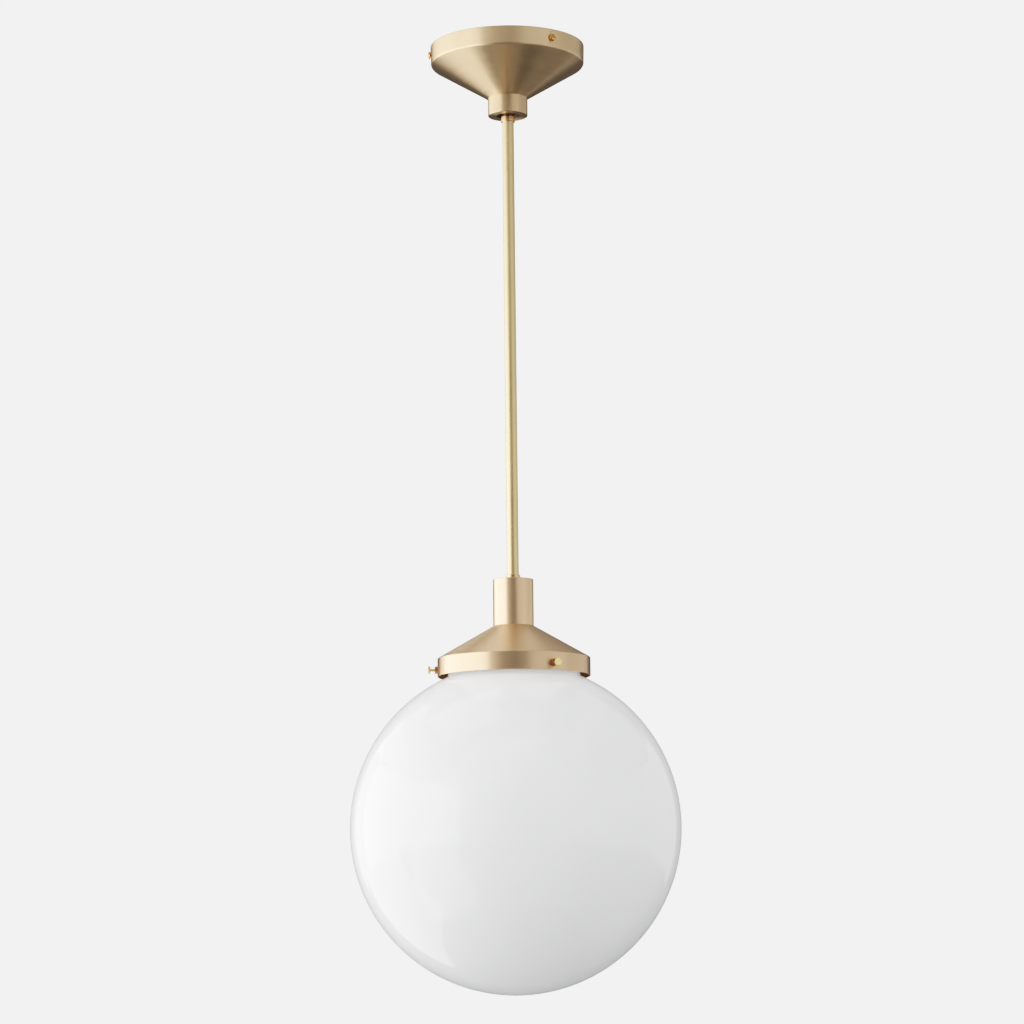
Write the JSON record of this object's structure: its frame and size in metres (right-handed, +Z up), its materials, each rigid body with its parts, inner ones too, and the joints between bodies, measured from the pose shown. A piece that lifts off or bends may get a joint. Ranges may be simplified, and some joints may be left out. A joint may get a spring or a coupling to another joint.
{
  "type": "pendant ceiling light",
  "caption": "Rigid-stem pendant light: coned brass canopy on a ball swivel, socket cup, globe holder with thumb screws and an opal glass globe.",
  "frame": {"origin": "centre of the ceiling plane, on the light's axis, midway between the two outlet-box slots", "axes": "+Z up out of the ceiling plane along the stem's axis; +X along the line of the two outlet-box slots; the light hangs below Z = 0"},
  "size_m": [0.3556, 0.3556, 1.0424],
  "materials": {
    "brass_satin": "satin brass, fine circumferential brushing",
    "stem_brass": "drawn brass tube, smooth satin, slightly yellower",
    "sleeve_brass": "turned brass, satin",
    "screw_brass": "turned brass, slightly toned",
    "thumb_brass": "bright turned brass",
    "boss_brass": "turned brass, slightly toned",
    "raw_brass": "raw turned brass",
    "plated_steel": "zinc plated",
    "green_screw": "green dyed zinc",
    "nickel": "nickel plated",
    "opal_glass": "opal white, polished outside",
    "bulb_frosted": "frosted inside",
    "clear_glass": "clear",
    "black_glass": "black glass insulator",
    "porcelain": "white glaze",
    "lead_black": "insulated lead",
    "lead_white": "insulated lead",
    "lead_green": "insulated lead",
    "connector_plastic": "moulded, lightly ribbed"
  },
  "bodies": {
    "ceiling_mount": {"mounting_plate": "plated_steel", "plate_ground_screw": "green_screw", "canopy_shell": "brass_satin", "canopy_collar": "brass_satin", "collar_lock_ring": "plated_steel"},
    "swivel_seat": {"swivel_seat_ring": "raw_brass"},
    "pendant": {"swivel_ball": "raw_brass", "upper_nipple": "plated_steel", "stem_sleeve_top": "sleeve_brass", "stem_tube": "stem_brass", "stem_sleeve_bottom": "sleeve_brass", "lower_nipple": "plated_steel", "socket_cup": "brass_satin", "globe_holder": "brass_satin", "thumb_screw_bosses": "boss_brass", "globe": "opal_glass", "cup_lock_washer": "plated_steel", "cup_lock_nut": "plated_steel", "socket_bracket": "plated_steel", "socket_bracket_screws": "plated_steel", "socket_body": "porcelain", "socket_terminal_screws": "screw_brass", "socket_screw_shell": "nickel", "socket_centre_contact": "raw_brass", "live_lead": "lead_black", "neutral_lead": "lead_white", "ground_lead": "lead_green", "wire_connectors": "connector_plastic"},
    "bulb": {"bulb_button": "nickel", "bulb_insulator": "black_glass", "bulb_base": "nickel", "bulb_glass": "bulb_frosted", "bulb_stem": "clear_glass", "bulb_filament": "nickel"},
    "thumb_screw_1": {"thumb_screw_1": "thumb_brass"},
    "thumb_screw_2": {"thumb_screw_2": "thumb_brass"},
    "thumb_screw_3": {"thumb_screw_3": "thumb_brass"},
    "canopy_screw_1": {"canopy_screw_1": "screw_brass"},
    "canopy_screw_2": {"canopy_screw_2": "screw_brass"},
    "canopy_screw_3": {"canopy_screw_3": "screw_brass"}
  },
  "joints": [
    {"name": "pendant_turn", "type": "hinge", "parent": "ceiling_mount", "child": "swivel_seat", "pos_m": [0, 0, -0.06318], "axis": [0, 0, 1], "range_deg": [-170, 170]},
    {"name": "pendant_tilt", "type": "hinge", "parent": "swivel_seat", "child": "pendant", "pos_m": [0, 0, -0.06318], "axis": [0, 1, 0], "range_deg": [-15, 15]},
    {"name": "bulb_unscrew", "type": "slide", "parent": "pendant", "child": "bulb", "axis": [0, 0, -1], "range_m": [0, 0.022]},
    {"name": "thumb_screw_1_travel", "type": "slide", "parent": "pendant", "child": "thumb_screw_1", "axis": [-1, 0, 0], "range_m": [0, 0.006]},
    {"name": "thumb_screw_2_travel", "type": "slide", "parent": "pendant", "child": "thumb_screw_2", "axis": [0.5, -0.866, 0], "range_m": [0, 0.006]},
    {"name": "thumb_screw_3_travel", "type": "slide", "parent": "pendant", "child": "thumb_screw_3", "axis": [0.5, 0.866, 0], "range_m": [0, 0.006]},
    {"name": "canopy_screw_1_travel", "type": "slide", "parent": "ceiling_mount", "child": "canopy_screw_1", "axis": [-0.9962, -0.0872, 0], "range_m": [0, 0.005]},
    {"name": "canopy_screw_2_travel", "type": "slide", "parent": "ceiling_mount", "child": "canopy_screw_2", "axis": [0.5736, -0.8192, 0], "range_m": [0, 0.005]},
    {"name": "canopy_screw_3_travel", "type": "slide", "parent": "ceiling_mount", "child": "canopy_screw_3", "axis": [0.4226, 0.9063, 0], "range_m": [0, 0.005]}
  ]
}
